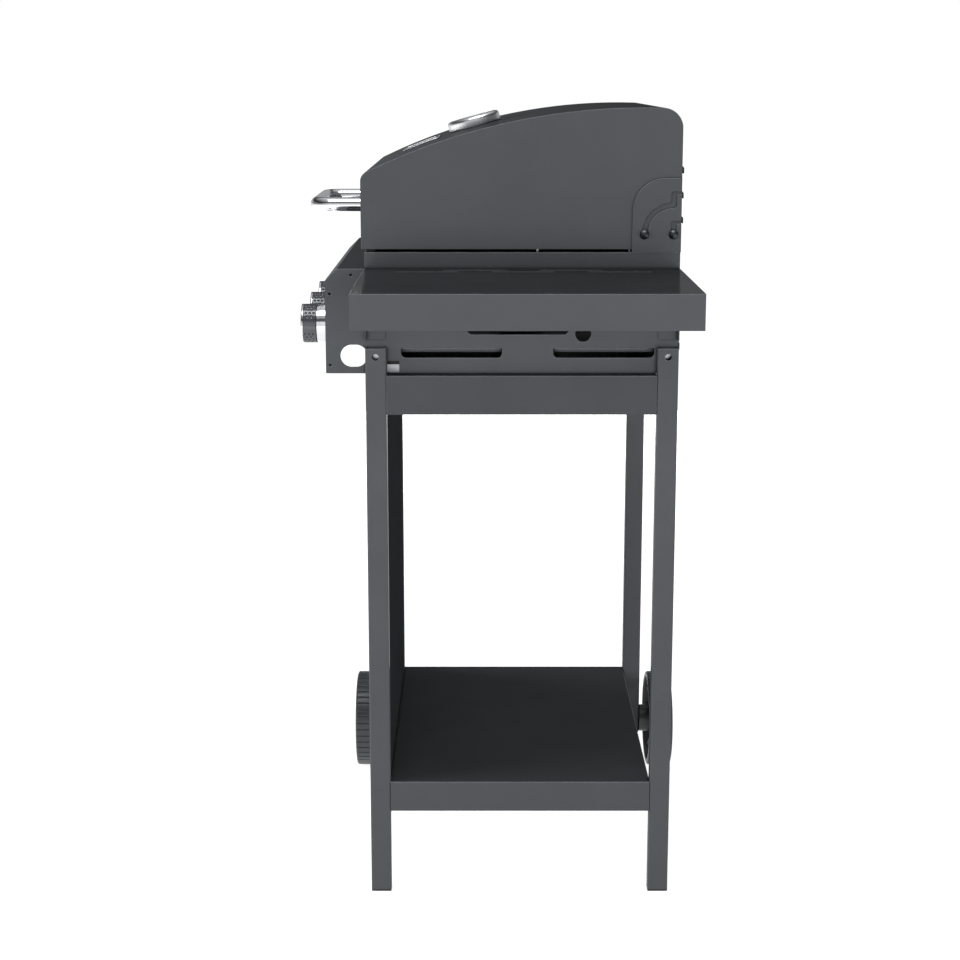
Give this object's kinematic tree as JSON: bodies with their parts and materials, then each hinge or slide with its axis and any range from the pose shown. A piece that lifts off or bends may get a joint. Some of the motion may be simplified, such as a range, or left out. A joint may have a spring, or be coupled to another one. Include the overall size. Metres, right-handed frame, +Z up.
{
  "type": "gas grill",
  "caption": "Cart gas grill with a hinged curved lid, tubular handle, thermometer, turning knobs, side shelves, cooking grates, drip tray and wheels.",
  "frame": {"origin": "on the floor, under the middle of the object's box", "axes": "+X to the grill's right-hand side, -Y to its front with the knobs, +Z up"},
  "size_m": [1.07, 0.553, 1.0666],
  "materials": {
    "frame_paint": "semi-gloss graphite powder coat",
    "dark_paint": "semi-gloss black powder coat",
    "chrome": "polished plating",
    "stainless": "brushed",
    "dark_steel": "blackened, semi-gloss",
    "zinc": "zinc plated",
    "brass": "machined",
    "cast_iron": "matt enamel",
    "grip_plastic": "satin",
    "wheel_plastic": "satin moulded",
    "cap_plastic": "satin",
    "dial_white": "matt print ground",
    "needle_red": "matt",
    "glass": "clear"
  },
  "bodies": {
    "cart": {"bottom_shelf": "frame_paint", "front_right_leg": "frame_paint", "rear_right_leg": "frame_paint", "front_left_leg": "frame_paint", "rear_left_leg": "frame_paint", "side_aprons": "frame_paint", "rear_crossbar": "frame_paint", "right_side_panel": "frame_paint", "left_side_panel": "frame_paint", "firebox_front_wall": "frame_paint", "firebox_rear_wall": "frame_paint", "control_panel": "frame_paint", "right_side_shelf": "frame_paint", "left_side_shelf": "frame_paint", "shelf_brackets": "frame_paint", "hinge_brackets": "frame_paint", "support_ledges": "frame_paint", "front_panel": "dark_paint", "knob_bezels": "chrome", "warming_rack": "chrome", "left_burner": "stainless", "middle_burner": "stainless", "right_burner": "stainless", "flame_tamers": "stainless", "gas_manifold": "stainless", "cart_bolts": "dark_steel", "wheel_axle": "zinc", "axle_caps": "zinc", "tray_rails": "zinc", "gas_inlet": "brass", "gas_valves": "brass", "left_cooking_grate": "cast_iron", "right_cooking_grate": "cast_iron", "leg_plugs": "cap_plastic"},
    "lid": {"lid_shell": "frame_paint", "right_lid_end": "frame_paint", "left_lid_end": "frame_paint", "lid_handle": "chrome", "name_plate": "chrome", "gauge_housing": "chrome", "gauge_dial": "dial_white", "gauge_glass": "glass", "lid_screws": "dark_steel", "lid_nuts": "zinc"},
    "needle": {"gauge_needle": "needle_red"},
    "front_wheel": {"front_wheel": "wheel_plastic"},
    "rear_wheel": {"rear_wheel": "wheel_plastic"},
    "drip_tray": {"drip_tray": "stainless"},
    "left_plug": {"left_valve_plug": "stainless"},
    "left_knob": {"left_knob": "chrome", "left_knob_grip": "grip_plastic", "left_spindle": "stainless"},
    "middle_plug": {"middle_valve_plug": "stainless"},
    "middle_knob": {"middle_knob": "chrome", "middle_knob_grip": "grip_plastic", "middle_spindle": "stainless"},
    "right_plug": {"right_valve_plug": "stainless"},
    "right_knob": {"right_knob": "chrome", "right_knob_grip": "grip_plastic", "right_spindle": "stainless"}
  },
  "joints": [
    {"name": "lid_hinge", "type": "hinge", "parent": "cart", "child": "lid", "pos_m": [0, 0.218, 0.905], "axis": [-1, 0, 0], "range_deg": [0, 90]},
    {"name": "needle_turn", "type": "hinge", "parent": "lid", "child": "needle", "pos_m": [0, -0.0395, 1.03754], "axis": [0, 0.263, -0.9648], "range_deg": [0, 270], "stiffness_Nm_per_rad": 0.0005},
    {"name": "front_wheel_spin", "type": "hinge", "parent": "cart", "child": "front_wheel", "pos_m": [-0.25, -0.21375, 0.076], "axis": [0, 1, 0], "continuous": true},
    {"name": "rear_wheel_spin", "type": "hinge", "parent": "cart", "child": "rear_wheel", "pos_m": [-0.25, 0.25775, 0.076], "axis": [0, 1, 0], "continuous": true},
    {"name": "drip_tray_slide", "type": "slide", "parent": "cart", "child": "drip_tray", "axis": [0, 1, 0], "range_m": [0, 0.35]},
    {"name": "left_knob_turn", "type": "hinge", "parent": "cart", "child": "left_plug", "pos_m": [-0.146, -0.2355, 0.777], "axis": [0, -1, 0], "range_deg": [0, 200]},
    {"name": "left_knob_push", "type": "slide", "parent": "left_plug", "child": "left_knob", "axis": [0, 1, 0], "range_m": [0, 0.004], "stiffness_N_per_m": 800, "springref_m": -0.003},
    {"name": "middle_knob_turn", "type": "hinge", "parent": "cart", "child": "middle_plug", "pos_m": [0, -0.2355, 0.777], "axis": [0, -1, 0], "range_deg": [0, 200]},
    {"name": "middle_knob_push", "type": "slide", "parent": "middle_plug", "child": "middle_knob", "axis": [0, 1, 0], "range_m": [0, 0.004], "stiffness_N_per_m": 800, "springref_m": -0.003},
    {"name": "right_knob_turn", "type": "hinge", "parent": "cart", "child": "right_plug", "pos_m": [0.146, -0.2355, 0.777], "axis": [0, -1, 0], "range_deg": [0, 200]},
    {"name": "right_knob_push", "type": "slide", "parent": "right_plug", "child": "right_knob", "axis": [0, 1, 0], "range_m": [0, 0.004], "stiffness_N_per_m": 800, "springref_m": -0.003}
  ]
}
